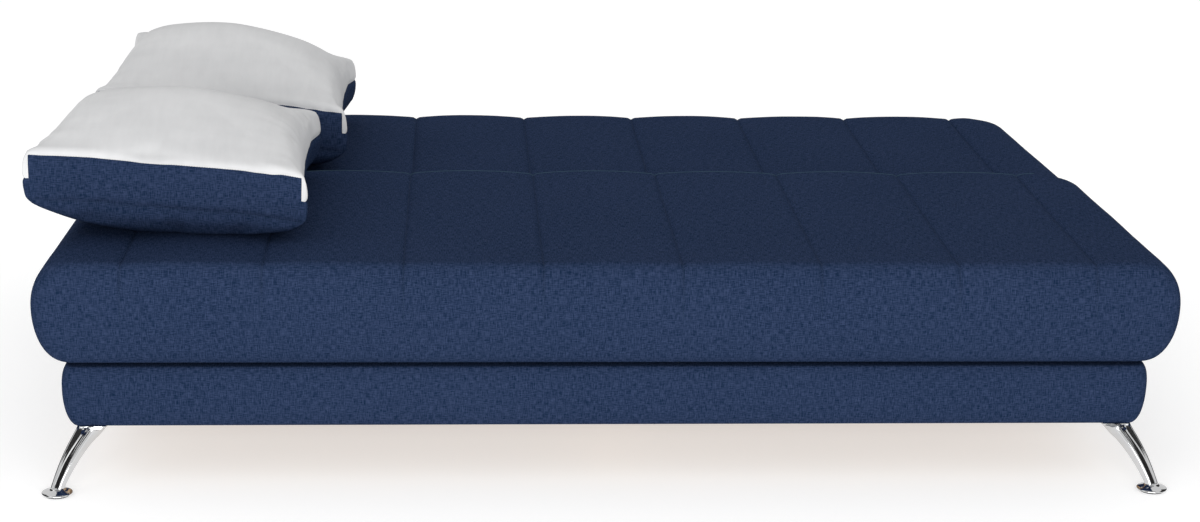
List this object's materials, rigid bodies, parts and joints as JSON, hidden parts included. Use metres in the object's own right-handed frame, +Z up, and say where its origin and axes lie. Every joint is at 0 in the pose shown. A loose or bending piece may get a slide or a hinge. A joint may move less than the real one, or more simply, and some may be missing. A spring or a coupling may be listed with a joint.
{
  "type": "sofa bed",
  "caption": "Click-clack sofa bed laid flat, with a bedding box, splayed horn legs and loose box pillows.",
  "frame": {"origin": "on the floor, at the middle of the bed's footprint, all nodes included", "axes": "+X along the bed's width to the right of someone facing its front, +Y from the front edge to the back panel, +Z up"},
  "size_m": [2.0179, 1.4609, 0.6016],
  "materials": {
    "navy_fabric": "coarse flat-woven navy upholstery cloth over foam",
    "pillow_fabric": "pale grey short-pile velour with navy woven gussets",
    "timber": "planed softwood",
    "panel_board": "thin hardboard",
    "chrome": "polished chrome plate",
    "zinc_steel": "zinc-plated pressed steel",
    "black_plastic": "matt",
    "black_rubber": "matt",
    "lining_cloth": "thin black non-woven cloth"
  },
  "bodies": {
    "base": {"box_centre_rail": "timber", "box_floor_panel": "panel_board", "box_front_board": "timber", "box_front_pad": "navy_fabric", "box_left_board": "timber", "box_left_pad": "navy_fabric", "box_rear_board": "timber", "box_rear_pad": "navy_fabric", "box_right_board": "timber", "box_right_pad": "navy_fabric", "bumper_front_left": "black_rubber", "bumper_front_right": "black_rubber", "bumper_rear_left": "black_rubber", "bumper_rear_right": "black_rubber", "hinge_bolt_left": "zinc_steel", "hinge_bolt_right": "zinc_steel", "hinge_bracket_left": "zinc_steel", "hinge_bracket_right": "zinc_steel", "leg_foot_front_left": "chrome", "leg_foot_front_right": "chrome", "leg_foot_rear_left": "chrome", "leg_foot_rear_right": "chrome", "leg_front_left": "chrome", "leg_front_right": "chrome", "leg_glide_front_left": "black_plastic", "leg_glide_front_right": "black_plastic", "leg_glide_rear_left": "black_plastic", "leg_glide_rear_right": "black_plastic", "leg_plate_front_left": "chrome", "leg_plate_front_right": "chrome", "leg_plate_rear_left": "chrome", "leg_plate_rear_right": "chrome", "leg_rear_left": "chrome", "leg_rear_right": "chrome"},
    "seat": {"seat_arm_left": "zinc_steel", "seat_arm_right": "zinc_steel", "seat_dust_cloth": "lining_cloth", "seat_front_rail": "timber", "seat_left_cross_rail": "timber", "seat_left_rail": "timber", "seat_padding": "navy_fabric", "seat_rear_rail": "timber", "seat_right_cross_rail": "timber", "seat_right_rail": "timber"},
    "back": {"back_arm_left": "zinc_steel", "back_arm_right": "zinc_steel", "back_dust_cloth": "lining_cloth", "back_front_rail": "timber", "back_left_cross_rail": "timber", "back_left_rail": "timber", "back_padding": "navy_fabric", "back_rear_rail": "timber", "back_right_cross_rail": "timber", "back_right_rail": "timber"},
    "pillow_front": {"pillow_front": "pillow_fabric"},
    "pillow_rear": {"pillow_rear": "pillow_fabric"},
    "pawl_left": {"ratchet_pawl_left": "zinc_steel"},
    "pawl_right": {"ratchet_pawl_right": "zinc_steel"}
  },
  "joints": [
    {"name": "seat_lift", "type": "hinge", "parent": "base", "child": "seat", "pos_m": [0, 0.045, 0.345], "axis": [-1, 0, 0], "range_deg": [0, 25]},
    {"name": "back_fold", "type": "hinge", "parent": "base", "child": "back", "pos_m": [0, 0.045, 0.345], "axis": [1, 0, 0], "range_deg": [0, 75]},
    {"name": "pillow_front_shift", "type": "slide", "parent": "seat", "child": "pillow_front", "axis": [0, -1, 0], "range_m": [0, 0.1705]},
    {"name": "pillow_rear_shift", "type": "slide", "parent": "back", "child": "pillow_rear", "axis": [0, 1, 0], "range_m": [0, 0.14]},
    {"name": "pawl_left_pivot", "type": "hinge", "parent": "seat", "child": "pawl_left", "pos_m": [0, -0.03093, 0.30463], "axis": [-1, 0, 0], "range_deg": [0, 8], "stiffness_Nm_per_rad": 0.05, "springref_deg": -11.46},
    {"name": "pawl_right_pivot", "type": "hinge", "parent": "seat", "child": "pawl_right", "pos_m": [0, -0.03093, 0.30463], "axis": [-1, 0, 0], "range_deg": [0, 8], "stiffness_Nm_per_rad": 0.05, "springref_deg": -11.46}
  ],
  "couplings": [
    {"joint": "pillow_front_shift", "follows": "back_fold", "m_per_rad": 0.13},
    {"joint": "pillow_rear_shift", "follows": "seat_lift", "m_per_rad": 0.32}
  ]
}
